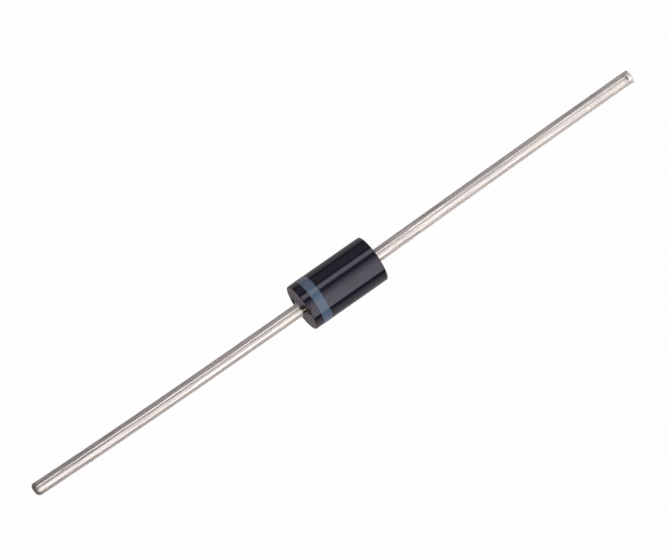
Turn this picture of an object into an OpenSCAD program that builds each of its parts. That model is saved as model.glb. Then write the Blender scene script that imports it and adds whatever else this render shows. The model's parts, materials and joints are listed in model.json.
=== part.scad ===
// Axial-lead zener diode in a moulded case, one-watt size, in millimetres.
// The diode's axis is X, with the banded cathode end at -X and the origin in the middle of the case.

/* [Case] */
// Diameter of the moulded case
case_d = 2.7; // [2.3:0.05:2.9]
// Length of the case between its end faces, measured beside the leads
case_len = 4.75; // [4.1:0.05:5.2]
// Radius of the rounded rim round each end face
rim_r = 0.07; // [0.04:0.01:0.2]
// Slope of the end faces that lets the mould part, in degrees
end_draft = 2; // [0.5:0.5:6]

/* [Resin collars] */
// How far the resin crept out along each lead
collar_h = 0.12; // [0.06:0.01:0.2]
// Width of the collar's lip, out from the lead
collar_lip_w = 0.06; // [0.04:0.01:0.1]
// Width of the collar's foot on the end face, out from the lead
collar_foot_w = 0.2; // [0.12:0.01:0.28]

/* [Gate scar] */
// Width of the break left by the mould gate, where it leaves the rim of the cathode end
gate_w = 0.7; // [0.4:0.05:0.9]
// Depth of the break at the rim
gate_depth = 0.16; // [0.08:0.01:0.2]
// Depth of the break at the foot of the resin collar
gate_lead_depth = 0.08; // [0.03:0.01:0.12]
// Turn of the gate about the axis, from +Z towards -Y, in degrees
gate_turn = 15; // [0:5:355]

/* [Leads] */
// Diameter of the lead wire
lead_d = 0.75; // [0.65:0.01:0.85]
// Length of each lead outside the case
lead_len = 17.2; // [8:0.1:28]
// How much the wire swells in diameter where it meets its head
neck_swell = 0.06; // [0.02:0.01:0.12]
// Diameter of the nail head upset on the lead's inner end
head_d = 1.5; // [1.3:0.05:1.8]
// Thickness of the head at its edge
head_edge_t = 0.16; // [0.1:0.02:0.3]
// Length of the cone from the head's edge back to the wire
head_cone_len = 0.18; // [0.1:0.02:0.3]

/* [Lead tips] */
// Radius that rounds the tip of the cathode lead
cathode_tip_r = 0.16; // [0.05:0.01:0.25]
// Distance of the pinch crease from the end of the anode lead
crease_from_tip = 0.28; // [0.2:0.02:0.6]
// Depth of the pinch crease, pressed straight across the wire
crease_depth = 0.035; // [0.015:0.005:0.06]
// Width of the pinch crease along the lead
crease_w = 0.06; // [0.04:0.01:0.12]
// Turn of the pinch crease about the axis, from +Z towards -Y, in degrees
crease_turn = 5; // [0:5:355]
// Chamfer on the sheared tip of the anode lead
anode_chamfer = 0.05; // [0.02:0.01:0.1]

/* [Junction] */
// Side of the square silicon die
die_w = 0.9; // [0.6:0.05:1]
// Thickness of the die
die_t = 0.28; // [0.2:0.02:0.4]
// Bare margin of the die round its solder pads
pad_margin = 0.04; // [0.02:0.01:0.1]
// Thickness of each solder joint
solder_t = 0.06; // [0.03:0.01:0.1]
// How far the solder spreads past its pad on the lead's head
solder_spread = 0.08; // [0.02:0.01:0.12]
// Cover of the silicone coating over the die's corners, at the heads
coat_cover = 0.06; // [0.03:0.01:0.12]
// How far the coating bulges out between the heads
coat_bulge = 0.1; // [0.04:0.01:0.16]

/* [Cathode band] */
// Width of the printed band
band_w = 0.57; // [0.4:0.01:0.9]
// Distance of the band from the cathode end of the case
band_from_end = 0.51; // [0.3:0.01:1.2]
// Thickness of the ink
band_t = 0.02; // [0.01:0.005:0.05]

/* [Hidden] */

// Radii and half-lengths that the pieces share
case_r = case_d / 2;
case_half = case_len / 2;
lead_r = lead_d / 2;
neck_r = lead_r + neck_swell / 2;
head_r = head_d / 2;
lead_end = case_half + lead_len;
collar_end = case_half + collar_h;
collar_foot_r = lead_r + collar_foot_w;

// Planes of the stack, out from the middle of the die
die_face = die_t / 2;
head_face = die_face + solder_t;
head_edge = head_face + head_edge_t;
head_back = head_edge + head_cone_len;

// The solder pad on the die and the coating round its corners
pad_r = die_w / 2 - pad_margin;
coat_foot_r = die_w / sqrt(2) + coat_cover;

// Facets of a whole turn, and steps in a drawn arc
turn_facets = 96;
arc_steps = 8;
// Lets a cut run clear past the face that it opens
cut_past = 0.5;

// Outlines are lists of [radius, distance along the axis].

// Points of an arc about a centre, between two angles in degrees
function arc(centre, r, from, to) =
    [for (i = [0:arc_steps])
        let (a = from + (to - from) * i / arc_steps) centre + r * [cos(a), sin(a)]];

// The same outline seen from the cathode end, in the opposite order
function other_end(outline) =
    [for (i = [len(outline) - 1:-1:0]) [outline[i][0], -outline[i][1]]];

// The rounded rim at the anode end, tangent to the drafted face and to the side
rim_centre_r = case_r - rim_r;
rim_centre = [rim_centre_r,
              case_half - (rim_centre_r - collar_foot_r) * tan(end_draft) - rim_r / cos(end_draft)];
rim = arc(rim_centre, rim_r, 90 - end_draft, 0);

// Outside of the case, from the collar's lip at the anode lead to the side
case_skin = concat([[lead_r, collar_end],
                    [lead_r + collar_lip_w, collar_end],
                    [collar_foot_r, case_half]], rim);

// The lead inside the case, from the edge of its head to the end of the resin collar
lead_in_case = [[head_r, head_face], [head_r, head_edge], [neck_r, head_back], [lead_r, collar_end]];

// The coating's bulged outside, from the cathode head to the anode head
bulge_r = (head_face * head_face + coat_bulge * coat_bulge) / (2 * coat_bulge);
bulge_turn = atan2(head_face, bulge_r - coat_bulge);
coat_skin = arc([coat_foot_r + coat_bulge - bulge_r, 0], bulge_r, -bulge_turn, bulge_turn);

cathode_tip = arc([lead_r - cathode_tip_r, lead_end - cathode_tip_r], cathode_tip_r, 0, 90);
anode_tip = [[lead_r, lead_end - anode_chamfer], [lead_r - anode_chamfer, lead_end]];

// The gate scar's round bottom, and its fall from the collar's foot to the rim
scoop_r = (gate_w * gate_w / 4 + gate_depth * gate_depth) / (2 * gate_depth);
scoop_fall = atan(tan(end_draft) + (gate_depth - gate_lead_depth) / (case_r - collar_foot_r));

// Turns an outline about the diode's axis
module turned(outline) {
    rotate([0, 90, 0])
        rotate_extrude($fn = turn_facets)
            polygon(outline);
}

// A lead with its head at the junction, reaching out along +X to the given tip
module headed_lead(tip) {
    color("gainsboro")
        turned(concat([[0, head_face]], lead_in_case, tip, [[0, lead_end]]));
}

// Solder between the die and the head on the +X side
module solder_joint() {
    color("lightslategray")
        translate([die_face, 0, 0])
            rotate([0, 90, 0])
                cylinder(h = solder_t, r1 = pad_r, r2 = pad_r + solder_spread, $fn = turn_facets);
}

// A scoop out of the cathode end that starts at the collar's foot and deepens to the rim
module gate_scar() {
    rotate([gate_turn, 0, 0])
        translate([gate_lead_depth - case_half, 0, collar_foot_r])
            rotate([0, scoop_fall, 0])
                translate([-scoop_r, 0, 0])
                    cylinder(h = case_r + cut_past, r = scoop_r, $fn = turn_facets);
}

// A straight V across the anode wire, just short of its tip; it opens on past the wire's skin
module pinch_crease() {
    rotate([crease_turn, 0, 0])
        translate([lead_end - crease_from_tip, 0, lead_r - crease_depth])
            rotate([90, 0, 0])
                linear_extrude(height = lead_d, center = true)
                    polygon([[0, 0], [crease_w, 2 * crease_depth], [-crease_w, 2 * crease_depth]]);
}

module moulded_case() {
    color([0.13, 0.13, 0.15])
        difference() {
            turned(concat(case_skin, other_end(case_skin),
                          other_end(lead_in_case), coat_skin, lead_in_case));
            gate_scar();
        }
}

module cathode_lead() {
    mirror([1, 0, 0])
        headed_lead(cathode_tip);
}

module anode_lead() {
    difference() {
        headed_lead(anode_tip);
        pinch_crease();
    }
}

module zener_die() {
    color([0.3, 0.31, 0.36])
        cube([die_t, die_w, die_w], center = true);
}

module cathode_solder() {
    mirror([1, 0, 0])
        solder_joint();
}

module anode_solder() {
    solder_joint();
}

module junction_coating() {
    color("linen")
        difference() {
            turned(concat([[0, -head_face]], coat_skin, [[0, head_face]]));
            zener_die();
            cathode_solder();
            anode_solder();
        }
}

module cathode_band() {
    color([0.4, 0.46, 0.53])
        turned([for (x = [0, band_w]) for (t = x == 0 ? [0, band_t] : [band_t, 0])
            [case_r + t, band_from_end - case_half + x]]);
}

moulded_case();
cathode_lead();
anode_lead();
zener_die();
cathode_solder();
anode_solder();
junction_coating();
cathode_band();
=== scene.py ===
import json
import math

import bpy
import numpy as np
from mathutils import Matrix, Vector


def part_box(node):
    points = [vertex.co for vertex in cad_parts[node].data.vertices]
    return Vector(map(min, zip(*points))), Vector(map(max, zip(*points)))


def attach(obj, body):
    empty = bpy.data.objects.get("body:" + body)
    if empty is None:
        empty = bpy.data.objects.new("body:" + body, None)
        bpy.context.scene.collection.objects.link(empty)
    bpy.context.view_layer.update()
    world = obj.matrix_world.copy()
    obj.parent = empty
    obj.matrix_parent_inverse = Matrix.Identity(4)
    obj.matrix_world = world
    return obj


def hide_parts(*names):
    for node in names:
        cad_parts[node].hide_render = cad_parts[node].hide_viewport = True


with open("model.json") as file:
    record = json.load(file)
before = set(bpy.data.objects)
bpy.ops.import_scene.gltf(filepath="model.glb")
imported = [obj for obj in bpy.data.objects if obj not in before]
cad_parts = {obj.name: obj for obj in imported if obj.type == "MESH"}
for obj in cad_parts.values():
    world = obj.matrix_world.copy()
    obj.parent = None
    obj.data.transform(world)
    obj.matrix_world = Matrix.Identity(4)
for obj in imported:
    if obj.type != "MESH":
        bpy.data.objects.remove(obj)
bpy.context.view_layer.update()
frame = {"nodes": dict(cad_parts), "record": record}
scene = bpy.context.scene
mm = 0.001  # the shapes below are worked out in millimetres, with the diode's axis along X

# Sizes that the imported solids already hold
caseHigh = np.array(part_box("moulded_case")[1]) / mm
leadLow, leadHigh = (np.array(corner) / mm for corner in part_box("anode_lead"))
coatHigh = np.array(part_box("junction_coating")[1]) / mm
bandLow, bandHigh = (np.array(corner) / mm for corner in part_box("cathode_band"))
caseR, collarEnd = caseHigh[2], caseHigh[0]
leadR = frame["record"]["mounts"][0]["dims"]["r_mm"]
leadEnd, headFace, headR = leadHigh[0], leadLow[0], leadHigh[2]

# The nail head on the inner end of each lead, and the cone from its edge back to the wire
headPlan = dict(neckSwell=0.06, edge=0.16, cone=0.18)
neckR = leadR + headPlan["neckSwell"] / 2
headEdge = headFace + headPlan["edge"]
headBack = headEdge + headPlan["cone"]
print("frame: case radius", round(caseR, 4), "collar", round(collarEnd, 4), "lead end", round(leadEnd, 4))


# An sRGB hex colour as linear red, green, blue and alpha
def linear(hexColour):
    srgb = np.array([int(hexColour[i:i + 2], 16) for i in (1, 3, 5)]) / 255
    curve = np.where(srgb <= 0.04045, srgb / 12.92, ((srgb + 0.055) / 1.055) ** 2.4)
    return (*curve.tolist(), 1.0)


# Adds a node; an input given as a socket is linked, any other input is set as its value
def addNode(tree, kind, inputs=None, **settings):
    node = tree.nodes.new(kind)
    for name, value in settings.items():
        setattr(node, name, value)
    for socket, value in (inputs or {}).items():
        if isinstance(value, bpy.types.NodeSocket):
            tree.links.new(value, node.inputs[socket])
        else:
            node.inputs[socket].default_value = value
    return node


# Scale of a texture whose features are that many millimetres across
def perMm(size):
    return 1 / (size * mm)


# Noise with features of that size in millimetres
def addNoise(tree, place, size, detail):
    return addNode(tree, "ShaderNodeTexNoise", {
        "Vector": place, "Scale": perMm(size), "Detail": detail}).outputs


# The place drawn out along the axis, so that a pattern gets longer there. The shift, in millimetres of the
# pattern before it is drawn out, picks another part of it.
def stretched(tree, place, stretch, shift=0.0):
    return addNode(tree, "ShaderNodeMapping", {
        "Vector": place, "Location": (shift * mm, 0, 0), "Scale": (1 / stretch, 1, 1)}).outputs[0]


# How far along Y a place is
def sideOf(tree, place):
    return addNode(tree, "ShaderNodeSeparateXYZ", {"Vector": place}).outputs["Y"]


# A value between start and end becomes one between low and high, held at those limits
def remap(tree, value, start, end, low=0.0, high=1.0):
    return addNode(tree, "ShaderNodeMapRange", {
        "Value": value, "From Min": start, "From Max": end, "To Min": low, "To Max": high}).outputs["Result"]


# One number worked out from the others
def calculate(tree, operation, *values):
    return addNode(tree, "ShaderNodeMath", dict(enumerate(values)), operation=operation).outputs[0]


# A share of the second colour in the first; each is a hex colour or a socket
def mixColours(tree, share, first, second):
    first, second = (linear(each) if isinstance(each, str) else each for each in (first, second))
    return addNode(tree, "ShaderNodeMix", {0: share, 6: first, 7: second}, data_type="RGBA").outputs[2]


# The number that addMask keeps on the mesh under that name
def readMask(tree, name):
    return addNode(tree, "ShaderNodeAttribute", attribute_name=name).outputs["Fac"]


# Shading of a relief that is so many millimetres deep
def addRelief(tree, height, depth, strength=1.0):
    return addNode(tree, "ShaderNodeBump", {
        "Height": height, "Strength": strength, "Distance": depth * mm}).outputs["Normal"]


# A material with its tree emptied, and the place of a point on the piece
def startMaterial(name):
    material = bpy.data.materials.new(name)
    material.use_nodes = True
    tree = material.node_tree
    tree.nodes.clear()
    return material, tree, addNode(tree, "ShaderNodeTexCoord").outputs["Object"]


# Closes a material with a principled surface
def finishMaterial(material, tree, inputs):
    surface = addNode(tree, "ShaderNodeBsdfPrincipled", inputs)
    addNode(tree, "ShaderNodeOutputMaterial", {"Surface": surface.outputs[0]})
    return material


# Camera: the cathode end of the axis is tipped towards it, and the axis climbs to the right of the picture
cameraPlan = dict(
    tip=11.6,  # degrees between the axis and the picture's plane
    turn=6.0,  # degrees round the axis, from above towards -Y
    climb=34.89,  # slope of the axis in the picture, in degrees
    distance=300.0,  # mm from the middle of the case
    pixelsPerMm=18.93,
    framePixels=(666, 555),
    casePixel=(337.27, 283.23),  # where the middle of the case falls, from the picture's top left corner
    sensor=36.0,
    nearest=10.0, farthest=10000.0,  # mm
)


def placeCamera(plan):
    tip, turn, climb = (math.radians(plan[key]) for key in ("tip", "turn", "climb"))
    back = np.array([-math.sin(tip), -math.cos(tip) * math.sin(turn), math.cos(tip) * math.cos(turn)])
    axisSeen = np.array([1.0, 0, 0]) - back[0] * back  # the axis as the picture's plane shows it
    axisSeen /= np.linalg.norm(axisSeen)
    besideSeen = np.cross(back, axisSeen)
    right = math.cos(climb) * axisSeen - math.sin(climb) * besideSeen
    up = math.sin(climb) * axisSeen + math.cos(climb) * besideSeen
    half = np.array(plan["framePixels"]) / 2
    shift = (np.array(plan["casePixel"]) - half) / plan["pixelsPerMm"]
    place = (back * plan["distance"] - right * shift[0] + up * shift[1]) * mm
    camera = bpy.data.objects.new("camera", bpy.data.cameras.new("camera"))
    camera.data.sensor_width = plan["sensor"]
    camera.data.lens = plan["pixelsPerMm"] * plan["distance"] * plan["sensor"] / plan["framePixels"][0]
    camera.data.clip_start, camera.data.clip_end = plan["nearest"] * mm, plan["farthest"] * mm
    turnedFrame = np.eye(4)
    turnedFrame[:3] = np.stack([right, up, back, place], 1)
    camera.matrix_world = Matrix(turnedFrame.tolist())
    scene.collection.objects.link(camera)
    scene.camera = camera


placeCamera(cameraPlan)
print("camera: placed")


# Grid points in millimetres become a mesh: each quad joins two neighbouring rings and two neighbouring
# columns. joinRings closes the last ring on the first, joinColumns the last column on the first, and capEnds
# each end ring on its middle point. patch gives each quad its material, and flat says which quads keep hard
# edges.
def surfaceObject(name, grid, materials, joinRings=False, joinColumns=True, capEnds=False,
                  patch=None, flat=None):
    index = np.arange(grid.shape[0] * grid.shape[1]).reshape(grid.shape[:2])
    if joinRings:
        index = np.vstack([index, index[:1]])
    if joinColumns:
        index = np.hstack([index, index[:, :1]])
    quads = np.stack([index[:-1, :-1], index[:-1, 1:], index[1:, 1:], index[1:, :-1]], -1)
    points, corners = grid.reshape(-1, 3), quads.reshape(-1, 4)
    caps = np.zeros((0, 3), int)
    if capEnds:
        middle = np.full(index.shape[1] - 1, len(points))
        points = np.vstack([points, grid[0].mean(0), grid[-1].mean(0)])
        caps = np.vstack([np.stack([middle, index[0, 1:], index[0, :-1]], -1),
                          np.stack([middle + 1, index[-1, :-1], index[-1, 1:]], -1)])
    # The wedges between the origin and the triangles add up to the volume, below nothing when inside out
    a, b, c = points[np.vstack([corners[:, [0, 1, 2]], corners[:, [0, 2, 3]], caps])].transpose(1, 0, 2)
    if joinColumns and np.einsum("ij,ij", a, np.cross(b, c)) < 0:
        corners, caps = corners[:, ::-1], caps[:, ::-1]
    mesh = bpy.data.meshes.new(name)
    mesh.from_pydata((points * mm).tolist(), [], corners.tolist() + caps.tolist())
    for material in materials:
        mesh.materials.append(material)
    for kind, values in (("material_index", patch), ("use_smooth", None if flat is None else ~flat)):
        if values is None:
            values = np.full(grid.shape[:2], kind == "use_smooth")
        values = values[:quads.shape[0], :quads.shape[1]].ravel()
        mesh.polygons.foreach_set(kind, np.append(values, np.full(len(caps), values[-1])).astype(np.int32))
    mesh.update()
    piece = bpy.data.objects.new(name, mesh)
    scene.collection.objects.link(piece)
    return piece


# A number for each grid point, kept on the mesh for its material to read
def addMask(piece, name, values):
    spare = len(piece.data.vertices) - values.size
    values = np.append(values.ravel(), [values.flat[0], values.flat[-1]][:spare])
    piece.data.attributes.new(name, "FLOAT", "POINT").data.foreach_set("value", values.astype(np.float32))


# Soft noise in space: many sine waves of random direction, length and phase, added up to about -1 to 1
def softNoise(points, grain, seed, waves=28, rates=(0.5, 1.4)):
    draw = np.random.default_rng(seed)
    heading = draw.normal(size=(waves, 3))
    heading /= np.linalg.norm(heading, axis=1)[:, None]
    rate = 2 * np.pi / grain * draw.uniform(*rates, waves)
    phase = draw.uniform(0, 2 * np.pi, waves)
    return np.sin(points @ (heading * rate[:, None]).T + phase).sum(-1) / math.sqrt(waves)


# Broken facets: each point lies on the tilted flat of its nearest chip centre, about -1 to 1
def facetNoise(points, low, high, chips, steep, seed):
    draw = np.random.default_rng(seed)
    centres = draw.uniform(low, high, (chips, len(low)))
    tilt = draw.normal(size=centres.shape) * steep
    height = draw.uniform(-1, 1, chips)
    nearest = np.linalg.norm(points[..., None, :] - centres, axis=-1).argmin(-1)
    return height[nearest] + ((points - centres[nearest]) * tilt[nearest]).sum(-1)


# Smooth step from 0 to 1 between two values
def ease(value, start, end):
    share = np.clip((value - start) / (end - start), 0, 1)
    return share * share * (3 - 2 * share)


# Points of an outline, [along, radius], on straight runs from station to station, with so many on each. A
# run leaves out its last point, which the next one starts with.
def straightRuns(stations, counts):
    return np.vstack([np.linspace(start, end, count, endpoint=False)
                      for start, end, count in zip(stations, stations[1:], counts)])


# The same on an arc; its angle is from along the axis towards the radius, in degrees
def arcRun(middle, radius, start, end, count):
    turn = np.radians(np.linspace(start, end, count, endpoint=False))
    return np.array(middle) + radius * np.stack([np.cos(turn), np.sin(turn)], 1)


# Points round the axis, where the turn runs from +Z towards -Y
def roundAxis(along, radius, turn):
    return np.stack(np.broadcast_arrays(along, -radius * np.sin(turn), radius * np.cos(turn)), -1)


# Studio: the lamps' angles are round the diode's axis, from straight above towards -Y
studio = dict(
    room="#5b5b68",
    floorColour="#bdbab9",
    farColour="#403e45",  # what metal and gloss see of the floor far from the diode's axis
    nearSide=4.5, farSide=24.0,  # mm from the axis between which the one fades into the other
    cameraWhite=0.98,  # share of plain white that the camera sees in the floor
    floorReach=1200.0, sweepFrom=850.0, sweepRise=110.0,  # mm
    floorPoints=121,  # along each side
    lampDistance=300.0, lampLength=800.0,  # mm
)
lamps = dict(
    key=dict(start=-5.0, end=79.5, ramp=0.47, radiance=1.8, colour="#fffaf6"),
    strip=dict(start=-37.5, end=-19.0, ramp=0.0, radiance=1.8, colour="#fffaf8"),
    fill=dict(start=-88.0, end=-48.0, ramp=0.0, radiance=0.15, colour="#fff7f2"),
)


# A soft box across a range of angles, as bright as its radiance; ramp is the share over which it fades in
def softBox(name, own, plan):
    middle = math.radians((own["start"] + own["end"]) / 2)
    half = math.radians((own["end"] - own["start"]) / 2)
    distance = plan["lampDistance"] * mm
    lamp = bpy.data.lights.new(name, "AREA")
    lamp.shape = "RECTANGLE"
    lamp.size = plan["lampLength"] * mm
    lamp.size_y = 2 * distance * math.tan(half)
    lamp.energy = own["radiance"] * math.pi * lamp.size * lamp.size_y
    lamp.color = linear(own["colour"])[:3]
    if own["ramp"]:
        lamp.use_nodes = True
        tree = lamp.node_tree
        tree.nodes.clear()
        across = addNode(tree, "ShaderNodeNewGeometry").outputs["Parametric"]
        fade = remap(tree, sideOf(tree, across), 1.0, 1.0 - own["ramp"])
        glow = addNode(tree, "ShaderNodeEmission", {"Strength": fade})
        addNode(tree, "ShaderNodeOutputLight", {"Surface": glow.outputs["Emission"]})
    box = bpy.data.objects.new(name, lamp)
    box.location = (0, -distance * math.sin(middle), distance * math.cos(middle))
    box.rotation_euler = (middle, 0, 0)
    box.visible_camera = False
    scene.collection.objects.link(box)


# Matt card: pale, and mostly plain white to the camera, so that the diode's shadow shows faintly on it
def paleCard(plan):
    material, tree, place = startMaterial("paleCard")
    rays = addNode(tree, "ShaderNodeLightPath").outputs
    mirrored = calculate(tree, "MAXIMUM", rays["Is Glossy Ray"], rays["Is Transmission Ray"])
    away = calculate(tree, "ABSOLUTE", sideOf(tree, place))
    far = remap(tree, away, plan["nearSide"] * mm, plan["farSide"] * mm)
    dim = calculate(tree, "MULTIPLY", mirrored, far)
    colour = mixColours(tree, dim, plan["floorColour"], plan["farColour"])
    share = calculate(tree, "MULTIPLY", rays["Is Camera Ray"], plan["cameraWhite"])
    card = addNode(tree, "ShaderNodeBsdfDiffuse", {"Color": colour})
    white = addNode(tree, "ShaderNodeEmission", {"Strength": 1.0})
    mix = addNode(tree, "ShaderNodeMixShader", {0: share, 1: card.outputs[0], 2: white.outputs[0]})
    addNode(tree, "ShaderNodeOutputMaterial", {"Surface": mix.outputs[0]})
    return material


# Floor: flat under the diode, then rising in a smooth sweep with the distance from it
def makeFloor(plan):
    side = np.linspace(-plan["floorReach"], plan["floorReach"], plan["floorPoints"])
    x, y = np.meshgrid(side, side, indexing="ij")
    rise = plan["sweepRise"] * ease(np.hypot(x, y), plan["sweepFrom"], plan["floorReach"])
    grid = np.stack([x, y, rise - bandHigh[2]], -1)
    surfaceObject("floor", grid, [paleCard(plan)], joinColumns=False)


def makeRoom(plan):
    world = bpy.data.worlds.new("room")
    world.use_nodes = True
    tree = world.node_tree
    tree.nodes.clear()
    glow = addNode(tree, "ShaderNodeBackground", {"Color": linear(plan["room"]), "Strength": 1.0})
    addNode(tree, "ShaderNodeOutputWorld", {"Surface": glow.outputs[0]})
    scene.world = world


scene.view_settings.view_transform = "Standard"
makeFloor(studio)
makeRoom(studio)
for lampName, lampPlan in lamps.items():
    softBox(lampName, lampPlan, studio)
print("studio: floor, room and", len(lamps), "lamps")


# Silica-filled epoxy, transfer-moulded in a polished cavity: near black, with clear reflections that the
# resin's orange peel bends a little, and flow marks of slightly duller skin
mouldedEpoxy = dict(deep="#13101c", cloud="#1b1825", cloudSize=0.7, peelSize=0.3, peelDepth=0.0012,
                    grainSize=0.05, grainFrom=0.3, grainTo=0.7, smoothest=0.07, roughest=0.14,
                    ior=1.6, sheen="#f1eeff")


def glossyEpoxy(plan):
    material, tree, place = startMaterial("epoxyMouldedGlossy")
    cloud = addNoise(tree, place, plan["cloudSize"], detail=4.0)["Fac"]
    grain = addNoise(tree, place, plan["grainSize"], detail=3.0)["Fac"]
    peel = addNoise(tree, place, plan["peelSize"], detail=2.0)["Fac"]
    roughness = remap(tree, grain, plan["grainFrom"], plan["grainTo"], plan["smoothest"], plan["roughest"])
    return finishMaterial(material, tree, {
        "Base Color": mixColours(tree, cloud, plan["deep"], plan["cloud"]), "Roughness": roughness,
        "IOR": plan["ior"], "Specular Tint": linear(plan["sheen"]),
        "Normal": addRelief(tree, peel, plan["peelDepth"])})


# The same epoxy on the end faces, where the cavity was left spark-eroded: an even grey bloom, no clear
# reflections and a brown bleed of resin on the gate's side. The collar is painted paler towards +Y, a
# painted sheen.
endEpoxy = dict(deep="#56545a", cloud="#68666c", cloudSize=0.35,
                bleed="#554b52", bleedFrom=0.3, bleedTo=-0.8,  # mm along Y
                thin="#949096", pitSize=0.03, pitDepth=0.003, pitStrength=0.6, roughness=0.34, ior=1.57)


def mattEpoxy(plan):
    material, tree, place = startMaterial("epoxyMouldedMatt")
    cloud = addNoise(tree, place, plan["cloudSize"], detail=4.0)["Fac"]
    pits = addNoise(tree, place, plan["pitSize"], detail=2.0)["Fac"]
    bloom = mixColours(tree, cloud, plan["deep"], plan["cloud"])
    bleed = remap(tree, sideOf(tree, place), plan["bleedFrom"] * mm, plan["bleedTo"] * mm)
    stained = mixColours(tree, bleed, bloom, plan["bleed"])
    # The collar's paler tone towards +Y is a painted sheen
    return finishMaterial(material, tree, {
        "Base Color": mixColours(tree, readMask(tree, "creep"), stained, plan["thin"]),
        "Roughness": plan["roughness"], "IOR": plan["ior"],
        "Normal": addRelief(tree, pits, plan["pitDepth"], plan["pitStrength"])})


# The same epoxy where the gate was snapped off: rough, with a few bright grains of filler. Its brown-black
# is partly the break's own colour and partly painted shade of its hollow
snappedEpoxy = dict(name="epoxyBroken", deep="#170b0c", grain="#77696a", grainSize=0.07,
                    bareFrom=0.6, bareTo=0.65, roughness=0.5, gloss=0.2)
# Splinters and the collar's lip beside the gate, whitened where the resin tore: pale, matt and grainy, the
# paleness partly a painted glint
tornEpoxyGlint = dict(name="epoxyTorn", deep="#968f88", grain="#dcd6cf", grainSize=0.04,
                 bareFrom=0.45, bareTo=0.5, roughness=0.55, gloss=0.5)


def brokenEpoxy(plan):
    material, tree, place = startMaterial(plan["name"])
    grain = addNoise(tree, place, plan["grainSize"], detail=3.0)["Fac"]
    bare = remap(tree, grain, plan["bareFrom"], plan["bareTo"])
    return finishMaterial(material, tree, {
        "Base Color": mixColours(tree, bare, plan["deep"], plan["grain"]),
        "Roughness": plan["roughness"], "Specular IOR Level": plan["gloss"]})


# Case: the outline of the moulding is carried round the axis. Its end faces fall away by the draft, the
# resin has crept out along each lead in a ragged collar, and the gate has snapped out of the cathode end.
casePlan = dict(
    around=360, crowd=0.55,  # columns, and how much they crowd towards the gate
    lipRings=4, collarRings=12, faceRings=44, rimRings=12, sideRings=56,
    glossRings=10,  # of the rim, on the side's own skin
    hollowRings=(5, 3, 2, 2), coatRings=5,  # along the wire, the head's cone, its edge and its face
    collarHeight=0.12, lipWidth=0.06, footWidth=0.2, collarRag=0.012, ragGrain=0.2, ragSeed=3,
    creepFrom=0.5,  # share of the radius towards -Y from which the collar's painted sheen starts, growing towards +Y
    draft=2.0, rimR=0.07, coatBulge=0.1,
    gateTurn=18.7, gateWidth=0.7, gateDepth=0.06, gateLeadDepth=0.03, leastDepth=0.006, tornHalf=0.2,
    chips=80, chipSteep=5.0, chipDepth=0.02, chipSeed=11, sideBlend=0.5,
    scarFrom=0.002,  # mm of depth from which the break has its own skin
    # Turns below are from the gate, in degrees
    splinters=(dict(turn=0.3, out=0.69, aside=0.0, long=0.06, wide=0.035, rise=0.095),
               dict(turn=10.3, out=0.86, aside=0.0, long=0.05, wide=0.035, rise=0.03)),
    splinterFrom=0.15,  # share of the first splinter's rise from which a splinter is pale
    # A shallow dent on the end face whose dark broken skin is a painted shadow of the lead
    flake=dict(turn=167.3, out=0.78, aside=0.5, long=0.42, wide=0.24, fall=0.02),
    paleLip=(0.0, 22.0), paleLift=0.3, paleRag=-0.2,
)


# A rounded bump on the end face: 1 at its middle, falling to 0 at an ellipse of the given half sizes
def ellipseBump(r, turn, own):
    gap = turn - math.radians(own["turn"])
    out, beside = r * np.cos(gap) - own["out"], r * np.sin(gap) - own["aside"]
    return np.clip(1 - (out / own["long"]) ** 2 - (beside / own["wide"]) ** 2, 0, 1)


# Half of the case's outline: from the collar's lip over the end face and the rim to the side
def endOutline(plan):
    faceX = collarEnd - plan["collarHeight"]
    lipR, footR = leadR + plan["lipWidth"], leadR + plan["footWidth"]
    draft, rimR = math.radians(plan["draft"]), plan["rimR"]
    rimMiddleR = caseR - rimR
    rimMiddleX = faceX - (rimMiddleR - footR) * math.tan(draft) - rimR / math.cos(draft)
    rimTop = (rimMiddleX + rimR * math.cos(draft), rimMiddleR + rimR * math.sin(draft))
    spread = np.linspace(0, 1, plan["collarRings"], endpoint=False)[:, None]
    # The collar curves in like a meniscus
    meniscus = np.hstack([faceX + plan["collarHeight"] * (1 - spread) ** 2, lipR + (footR - lipR) * spread])
    return np.vstack([
        straightRuns([(collarEnd, leadR), (collarEnd, lipR)], [plan["lipRings"]]),
        meniscus,
        straightRuns([(faceX, footR), rimTop], [plan["faceRings"]]),
        arcRun((rimMiddleX, rimMiddleR), rimR, plan["draft"], 90, plan["rimRings"]),
        [(rimMiddleX, caseR)],
    ])


# Half of the case's hollow: in along the wire, over its nail head, to the middle of the coating
def hollowOutline(plan):
    coatFootR = coatHigh[2] - plan["coatBulge"]
    stations = [(collarEnd, leadR), (headBack, neckR), (headEdge, headR), (headFace, headR),
                (headFace, coatFootR)]
    share = np.linspace(1, 0, plan["coatRings"], endpoint=False)[:, None]
    bulge = np.hstack([headFace * share, coatFootR + plan["coatBulge"] * (1 - share ** 2)])
    return np.vstack([straightRuns(stations, plan["hollowRings"])[1:], bulge])


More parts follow.
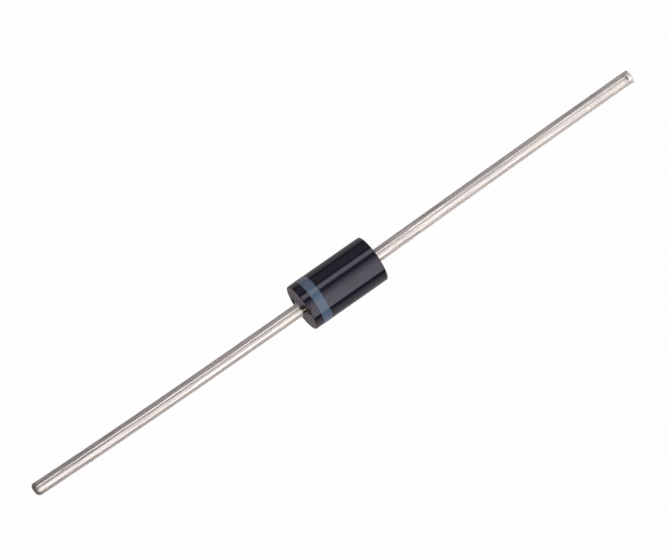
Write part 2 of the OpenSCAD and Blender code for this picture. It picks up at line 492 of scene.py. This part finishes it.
def makeCase(plan):
    end, hollow = endOutline(plan), hollowOutline(plan)
    otherWay = np.array([-1, 1])
    sideX = end[-1, 0]
    side = np.linspace((-sideX, caseR), (sideX, caseR), plan["sideRings"])[1:-1]
    middle = [(0, coatHigh[2])]
    outline = np.vstack([end * otherWay, side, end[::-1], hollow, middle, hollow[::-1] * otherWay])
    x, r = outline[:, :1], outline[:, 1:]
    spin = np.linspace(-np.pi, np.pi, plan["around"], endpoint=False)
    turn = (spin - plan["crowd"] * np.sin(spin))[None, :]  # round the axis from the gate
    faceX, footR = collarEnd - plan["collarHeight"], leadR + plan["footWidth"]
    ring = np.arange(len(outline))[:, None]
    sideStart, sideEnd = len(end), len(end) + len(side)
    outside = ring < sideEnd + len(end)
    near = ring < sideStart  # rings of the cathode end
    # Collars: their height wanders round the lead
    lift = np.clip((np.abs(x) - faceX) / plan["collarHeight"], 0, 1) * outside
    aroundLead = roundAxis(np.sign(x), leadR, turn)
    rag = plan["collarRag"] * softNoise(aroundLead, plan["ragGrain"], plan["ragSeed"])
    raggedX = x + np.sign(x) * lift * rag
    # Gate: a round-bottomed break that deepens from the collar's foot to the rim, roughened by facets
    out, beside = r * np.cos(turn), r * np.sin(turn)
    scoopR = (plan["gateWidth"] ** 2 / 4 + plan["gateDepth"] ** 2) / (2 * plan["gateDepth"])
    rise = scoopR - np.sqrt(np.maximum(scoopR ** 2 - beside ** 2, 0))
    reach = (out - footR) / (caseR - footR)
    deepening = (plan["gateDepth"] - plan["gateLeadDepth"]) * np.clip(reach, 0, 1)
    depth = plan["gateLeadDepth"] + deepening - rise
    facets = plan["chipDepth"] * facetNoise(
        np.stack([out, beside], -1), (leadR, -plan["gateWidth"]), (caseR, plan["gateWidth"]),
        plan["chips"], plan["chipSteep"], plan["chipSeed"])
    inGate = (np.abs(beside) < scoopR) & (out > leadR)
    fall = (out - footR) * math.tan(math.radians(plan["draft"]))
    rough = np.maximum(depth + facets, np.minimum(depth, plan["leastDepth"]))
    breakX = np.where(inGate, -faceX + fall + rough, -np.inf)
    cut = near & (reach > 0)
    brokenX = np.where(cut, np.maximum(raggedX, breakX), raggedX)
    # Beside the lead the collar stays, splintered
    tornCollar = near & (reach <= 0) & inGate & (np.abs(beside) < plan["tornHalf"])
    brokenX = brokenX + tornCollar * lift * facets
    # Pale splinters stand up in the break, their paleness partly a painted glint. Across the face from it a
    # shallow dent takes the dark broken skin as a painted shadow of the lead
    spike = near * np.max([own["rise"] * ellipseBump(r, turn, own) for own in plan["splinters"]], 0)
    flake = near * ellipseBump(r, turn, plan["flake"])
    brokenX = brokenX - spike + plan["flake"]["fall"] * np.sqrt(flake)
    # The collar's lip is pale beside the gate, where it stands high enough: partly torn resin, partly a
    # painted highlight
    lipStart, lipEnd = np.radians(plan["paleLip"])
    paleLip = near & (lift > plan["paleLift"]) & (turn > lipStart) & (turn < lipEnd)
    paleLip = paleLip & (rag > plan["paleRag"] * plan["collarRag"])
    # The side starts where the break leaves the rim
    edgeX = np.maximum(breakX[sideStart - 1], -sideX)
    blendX = -sideX + plan["sideBlend"]
    onSide = (ring >= sideStart) & (ring < sideEnd) & (x < blendX)
    brokenX = np.where(onSide, blendX - (blendX - x) * (blendX - edgeX) / plan["sideBlend"], brokenX)
    torn = (spike > plan["splinterFrom"] * plan["splinters"][0]["rise"]) | paleLip
    scar = (near & (brokenX - raggedX > plan["scarFrom"])) | tornCollar | torn
    endFace = outside & ((ring < sideStart - plan["glossRings"]) | (ring >= sideEnd + plan["glossRings"]))
    skins = [glossyEpoxy(mouldedEpoxy), mattEpoxy(endEpoxy),
             brokenEpoxy(snappedEpoxy), brokenEpoxy(tornEpoxyGlint)]
    patch = np.where(torn, 3, np.where(scar, 2, np.where(endFace, 1, 0)))  # each quad's place in skins
    turn = turn + math.radians(plan["gateTurn"])
    grid = roundAxis(brokenX, r, turn)
    piece = surfaceObject("case_moulding", grid, skins, joinRings=True, patch=patch, flat=scar)
    # Painted sheen: the collar is paler towards +Y
    addMask(piece, "creep", lift * np.clip(plan["creepFrom"] - np.sin(turn), 0, 1))
    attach(piece, "root")
    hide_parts("moulded_case")
    return piece


casePiece = makeCase(casePlan)
print("case:", len(casePiece.data.polygons), "faces")


# Pad-printed epoxy ink: an opaque blue-grey film, satin, mottled from teal to violet where it took unevenly,
# and painted lighter on the shaded +Y side and darker on the -Y side that the key lamp lights: painted
# shading
# The first tone is painted for the shaded +Y side and the second for the lit -Y side, painted shading that
# evens out the key light
bandInk = dict(full="#5e6e81", thin="#40546c", fullSide=0.9, thinSide=-0.7,  # mm along Y
               teal="#4c6478", violet="#5a607c", blotchSize=0.3, tintFrom=0.35, tintTo=0.65, tintShare=0.3,
               speckSize=0.05, speckDepth=0.002, speckStrength=0.5, roughness=0.17, ior=1.5,
               bloom=0.25, bloomRoughness=0.4)


def printedInk(plan):
    material, tree, place = startMaterial("inkPadPrinted")
    blotch = addNoise(tree, place, plan["blotchSize"], detail=3.0)["Fac"]
    speck = addNoise(tree, place, plan["speckSize"], detail=2.0)["Fac"]
    # Painted shading: the tone darkens from the shaded +Y side to the lit -Y side
    shadedSideShare = remap(tree, sideOf(tree, place), plan["thinSide"] * mm, plan["fullSide"] * mm)
    film = mixColours(tree, shadedSideShare, plan["thin"], plan["full"])
    mottle = remap(tree, blotch, plan["tintFrom"], plan["tintTo"])
    tint = mixColours(tree, mottle, plan["teal"], plan["violet"])
    return finishMaterial(material, tree, {
        "Base Color": mixColours(tree, plan["tintShare"], film, tint),
        "Roughness": plan["roughness"], "IOR": plan["ior"],
        "Sheen Weight": plan["bloom"], "Sheen Roughness": plan["bloomRoughness"],
        "Normal": addRelief(tree, speck, plan["speckDepth"], plan["speckStrength"])})


# Band: a film round the case whose two edges wander; its thickness falls to nothing at them like a worn
# shoulder
bandPlan = dict(around=360, across=22, under=3, edgeWander=0.008, edgeGrain=0.5, edgeSeeds=(21, 22),
                sink=0.004, shoulder=8, film=0.012, unevenness=0.12, unevenGrain=0.4, unevenSeed=23)


def makeBand(plan):
    turn = np.linspace(0, 2 * np.pi, plan["around"], endpoint=False)[None, :]
    edges = []
    for nominal, seed in zip((bandLow[0], bandHigh[0]), plan["edgeSeeds"]):
        wander = softNoise(roundAxis(nominal, caseR, turn), plan["edgeGrain"], seed)
        edges.append(nominal + plan["edgeWander"] * wander)
    share = np.linspace(0, 1, plan["across"])[:, None]
    x = edges[0] + (edges[1] - edges[0]) * share
    patches = softNoise(roundAxis(x, caseR, turn), plan["unevenGrain"], plan["unevenSeed"])
    uneven = 1 + plan["unevenness"] * (patches - 1)
    thick = plan["film"] * uneven * (1 - np.abs(2 * share - 1) ** plan["shoulder"])
    top = roundAxis(x, caseR + thick, turn)
    below = np.linspace(1, 0, plan["under"])[:, None]
    bottom = roundAxis(edges[0] + (edges[1] - edges[0]) * below, caseR - plan["sink"], turn)
    grid = np.concatenate([top, bottom])
    piece = surfaceObject("band_print", grid, [printedInk(bandInk)], joinRings=True)
    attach(piece, "root")
    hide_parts("cathode_band")
    return piece


bandPiece = makeBand(bandPlan)
print("band:", len(bandPiece.data.polygons), "faces")


# Matt tin plated over drawn copper wire: warm white. Long burnished die lines between matt ones give a soft
# reflection with a bright core, and the plating turns from pink to cream to grey in patches along the wire.
# A frosty bloom lightens it and hides some of the burnished lines, and where it is thickest it evens the
# rest to a dull sheen. The tin is dark at its cut end and at marks, and darkened in the pinch's creases as
# painted shade.
tinPlate = dict(pink="#d7d2d0", cream="#d7d3cf", grey="#c7c8c5", frost="#eeeae6", cut="#4f4640",
                lineWidth=0.014, lineStretch=480.0, lineShift=1.0, lineDepth=0.0004,
                patchSize=0.4, patchStretch=4.0, creamFrom=0.42, creamTo=0.58, greyFrom=0.56, greyTo=0.71,
                lineFrom=0.5, lineTo=0.53, haze=0.09, burnished=0.11, matt=0.95, dull=0.55, dullFrom=0.45)


def tinnedWire(plan):
    material, tree, place = startMaterial("tinPlatedDrawnWire")
    alongLines = stretched(tree, place, plan["lineStretch"], plan["lineShift"])
    line = addNoise(tree, alongLines, plan["lineWidth"], detail=1.0)["Fac"]
    alongPatches = stretched(tree, place, plan["patchStretch"])
    patch = addNoise(tree, alongPatches, plan["patchSize"], detail=3.0)["Color"]
    shares = addNode(tree, "ShaderNodeSeparateColor", {"Color": patch}).outputs
    creamShare = remap(tree, shares[0], plan["creamFrom"], plan["creamTo"])
    greyShare = remap(tree, shares[1], plan["greyFrom"], plan["greyTo"])
    warm = mixColours(tree, creamShare, plan["pink"], plan["cream"])
    tinted = mixColours(tree, greyShare, warm, plan["grey"])
    frost, cut = readMask(tree, "frost"), readMask(tree, "cut")
    frosted = mixColours(tree, frost, tinted, plan["frost"])
    hazed = calculate(tree, "MULTIPLY_ADD", frost, plan["haze"], line)
    lineRoughness = remap(tree, hazed, plan["lineFrom"], plan["lineTo"], plan["burnished"], plan["matt"])
    dulled = calculate(tree, "MAXIMUM", remap(tree, frost, plan["dullFrom"], 1.0), cut)
    roughness = addNode(tree, "ShaderNodeMix", {0: dulled, 2: lineRoughness, 3: plan["dull"]},
                        data_type="FLOAT").outputs[0]
    return finishMaterial(material, tree, {
        "Base Color": mixColours(tree, cut, frosted, plan["cut"]), "Metallic": 1.0,
        "Roughness": roughness, "Normal": addRelief(tree, line, plan["lineDepth"])})


# Leads: the outline of the wire with its nail head is carried round the axis, then bent a little with the
# distance from the case. Turns are in degrees from +Z towards -Y.
leadPlan = dict(
    around=112,
    # From the head's middle over its edge and cone to the wire, then along the wire with rings close
    # together from 4 to 3 mm short of its end and again near its tip
    rings=(6, 3, 4, 8, 90, 70, 20, 60), closeFromEnd=(4.0, 3.0, 0.6), tipRings=12, faceRings=10,
    headCapR=0.04, tipCapR=0.03,  # innermost rings, closed on their middles
    gripLength=0.4,  # mm out of the collar over which the wire comes free
    bendTurn=-84.0, wornTurn=96.0, waver=0.0016, waverGrain=0.9,
    cutGrain=0.12, cutRag=0.1, cutFrom=-1.0, cutTo=0.9,  # cut limits in tip radii from the tip's rounding
)
# bloom is the frost at the case and at the tip
cathodePlan = dict(node="cathode_lead", name="cathode_wire", side=-1, waverSeed=31, cutSeed=33,
                   tipR=0.2, wornR=0.26, tipShort=0.015, cutShare=0.65, bloom=(0.55, 0.0),
                   bend=0.156, bendFrom=7.0, bendPower=2.0,
                   snag=dict(fromTip=3.44, turn=86.0, rise=0.035, long=0.05, wide=20.0,
                             dentBack=1.6, darkBack=0.5))  # backs in lengths of the snag
anodePlan = dict(node="anode_lead", name="anode_wire", side=1, waverSeed=41, cutSeed=43,
                 tipR=0.05, wornR=0.05, tipShort=0.0, cutShare=0.2, bloom=(0.55, 0.62),
                 bend=0.135, bendFrom=2.5, bendPower=-1.5,
                 pinch=dict(fromTip=0.28, long=0.035,
                            creases=((2.0, 0.055), (55.0, 0.02)),  # turn, and depth in mm
                            leastLean=0.2, darkFrom=0.004, darkTo=0.015, smear=0.25, smearLong=0.3,
                            burr=0.012, burrGrain=0.14, burrSeed=44, burrFrom=1, burrTo=2, burrCore=0.5))


# The wire's outline from the middle of its head to the middle of its tip
def leadOutline(plan, tipR, tipEnd):
    tipX, core = tipEnd - tipR, leadR - tipR
    close = [(leadEnd - back, leadR) for back in plan["closeFromEnd"]]
    stations = [(headFace, plan["headCapR"]), (headFace, headR), (headEdge, headR), (headBack, neckR),
                (collarEnd, leadR), *close, (tipX, leadR)]
    return np.vstack([
        straightRuns(stations, plan["rings"]),
        arcRun((tipX, core), tipR, 90, 0, plan["tipRings"]),
        straightRuns([(tipEnd, core), (tipEnd, plan["tipCapR"])], [plan["faceRings"]]),
    ])


# Turn between two directions round the axis, in degrees from -180 to 180
def turnGap(turn, towards):
    return (np.degrees(turn) - towards + 180) % 360 - 180


# A snag: metal pushed up in a dark burr, with a dent behind it, both bell-shaped along and round the wire
def addSnag(own, along, turn, r, cut):
    gap = (along - (leadEnd - own["fromTip"])) / own["long"]
    wide = np.exp(-(turnGap(turn, own["turn"]) / own["wide"]) ** 2)
    r = r + own["rise"] * wide * (np.exp(-gap ** 2) - np.exp(-(gap + own["dentBack"]) ** 2))
    return r, np.maximum(cut, wide * np.exp(-(gap + own["darkBack"]) ** 2))


# A pinch: straight Vs pressed across the wire, painted darker in them as shade, with a smear on the way in;
# beyond them the end is burred
def addPinch(own, along, turn, spot, r, cut, frost):
    gap = (along - (leadEnd - own["fromTip"])) / own["long"]
    pressed = np.full(r.shape, np.inf)
    for creaseTurn, depth in own["creases"]:
        level = leadR - depth * np.clip(1 - np.abs(gap), 0, 1)
        lean = np.cos(np.radians(turnGap(turn, creaseTurn)))
        marked = (lean > own["leastLean"]) & (np.abs(gap) < 1)
        pressed = np.where(marked, np.minimum(pressed, level / np.maximum(lean, own["leastLean"])), pressed)
    burred = ease(gap, own["burrFrom"], own["burrTo"])
    burrs = own["burr"] * burred * softNoise(spot, own["burrGrain"], own["burrSeed"])
    r = r + burrs * (r > own["burrCore"] * leadR)
    facing = np.cos(np.radians(turnGap(turn, own["creases"][0][0])))
    smear = own["smear"] * ease(gap, -own["smearLong"] / own["long"], -1) * (gap < 0)
    cut = np.maximum(cut, smear * np.clip(facing, 0, 1) ** 2)
    # Painted shade: the tin darkens where the creases press in
    cut = np.maximum(cut, ease(r - pressed, own["darkFrom"], own["darkTo"]))
    return np.minimum(r, pressed), cut, np.maximum(frost, burred)


def makeLead(plan, own, tin):
    turn = np.linspace(0, 2 * np.pi, plan["around"], endpoint=False)[None, :]
    # The tip's rounding grows towards its worn side
    tipEnd = leadEnd - own["tipShort"]
    plain, worn = (leadOutline(plan, own[key], tipEnd)[:, None] for key in ("tipR", "wornR"))
    wornShare = 0.5 + 0.5 * np.cos(np.radians(turnGap(turn, plan["wornTurn"])))
    outline = plain + (worn - plain) * wornShare[..., None]
    along, r = outline[..., 0], outline[..., 1]
    # Nothing moves where the case grips the wire
    free = ease(along, collarEnd, collarEnd + plan["gripLength"])
    spot = roundAxis(along, r, turn)
    r = r + plan["waver"] * free * softNoise(spot, plan["waverGrain"], own["waverSeed"])
    frost = np.interp(along, (collarEnd, leadEnd), own["bloom"])
    rag = plan["cutRag"] * softNoise(spot, plan["cutGrain"], own["cutSeed"])
    cut = own["cutShare"] * ease((along - tipEnd) / own["tipR"] + 1 + rag, plan["cutFrom"], plan["cutTo"])
    if "snag" in own:
        r, cut = addSnag(own["snag"], along, turn, r, cut)
    if "pinch" in own:
        r, cut, frost = addPinch(own["pinch"], along, turn, spot, r, cut, frost)
    # With a power above nothing the wire sways off slowly at first, and with one below nothing fast at first
    reach = np.clip((along - own["bendFrom"]) / (leadEnd - own["bendFrom"]), 0, 1)
    power = own["bendPower"]
    sway = own["bend"] * (reach ** power if power > 0 else 1 - (1 - reach) ** -power)
    bendTurn = math.radians(plan["bendTurn"])
    grid = roundAxis(own["side"] * along, r, turn)
    grid = grid + sway[..., None] * np.array([0, -math.sin(bendTurn), math.cos(bendTurn)])
    piece = surfaceObject(own["name"], grid, [tin], capEnds=True)
    addMask(piece, "frost", frost)
    addMask(piece, "cut", cut)
    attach(piece, "root")
    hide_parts(own["node"])
    return piece


tinSkin = tinnedWire(tinPlate)
for own in (cathodePlan, anodePlan):
    leadPiece = makeLead(leadPlan, own, tinSkin)
    print("lead:", own["name"], len(leadPiece.data.polygons), "faces")


# Sawn and etched silicon: dark blue-grey, faintly glossy, with the saw's fine lines
dieSilicon = dict(deep="#3a3d49", light="#4c505e", sawLine=0.02,  # mm across each light or dark line
                  linesPerUnit=6.3,  # how many such lines the wave texture has in a unit at scale 1
                  sawWaver=2.0, roughness=0.35, metallic=0.5)


def sawnSilicon(plan):
    material, tree, place = startMaterial("siliconSawn")
    saw = addNode(tree, "ShaderNodeTexWave", {
        "Vector": place, "Scale": perMm(plan["sawLine"]) / plan["linesPerUnit"],
        "Distortion": plan["sawWaver"]}, bands_direction="Z").outputs["Fac"]
    return finishMaterial(material, tree, {
        "Base Color": mixColours(tree, saw, plan["deep"], plan["light"]),
        "Metallic": plan["metallic"], "Roughness": plan["roughness"]})


# High-lead solder, reflowed and cooled: dull grey metal with a frosty grain
jointSolder = dict(deep="#8f9196", light="#b4b6ba", grainSize=0.04, smoothest=0.35, roughest=0.55)


def cooledSolder(plan):
    material, tree, place = startMaterial("solderReflowed")
    grain = addNode(tree, "ShaderNodeTexVoronoi", {
        "Vector": place, "Scale": perMm(plan["grainSize"])}).outputs["Distance"]
    return finishMaterial(material, tree, {
        "Base Color": mixColours(tree, grain, plan["light"], plan["deep"]), "Metallic": 1.0,
        "Roughness": remap(tree, grain, 0.0, 1.0, plan["smoothest"], plan["roughest"])})


# Silicone junction coating, cured in place: milky, smooth, a little cloudy
coatSilicone = dict(clear="#d8d3c6", milky="#ebe8df", cloudSize=0.2, roughness=0.3, ior=1.41)


def curedSilicone(plan):
    material, tree, place = startMaterial("siliconeCured")
    cloud = addNoise(tree, place, plan["cloudSize"], detail=3.0)["Fac"]
    return finishMaterial(material, tree, {
        "Base Color": mixColours(tree, cloud, plan["clear"], plan["milky"]),
        "Roughness": plan["roughness"], "IOR": plan["ior"]})


# The junction's own solids keep their shape and take their finish here
solder = cooledSolder(jointSolder)
innerFinish = dict(zener_die=sawnSilicon(dieSilicon), cathode_solder=solder, anode_solder=solder,
                   junction_coating=curedSilicone(coatSilicone))
for node, material in innerFinish.items():
    slots = frame["nodes"][node].data.materials
    slots.clear()
    slots.append(material)
print("junction:", len(innerFinish), "solids finished")
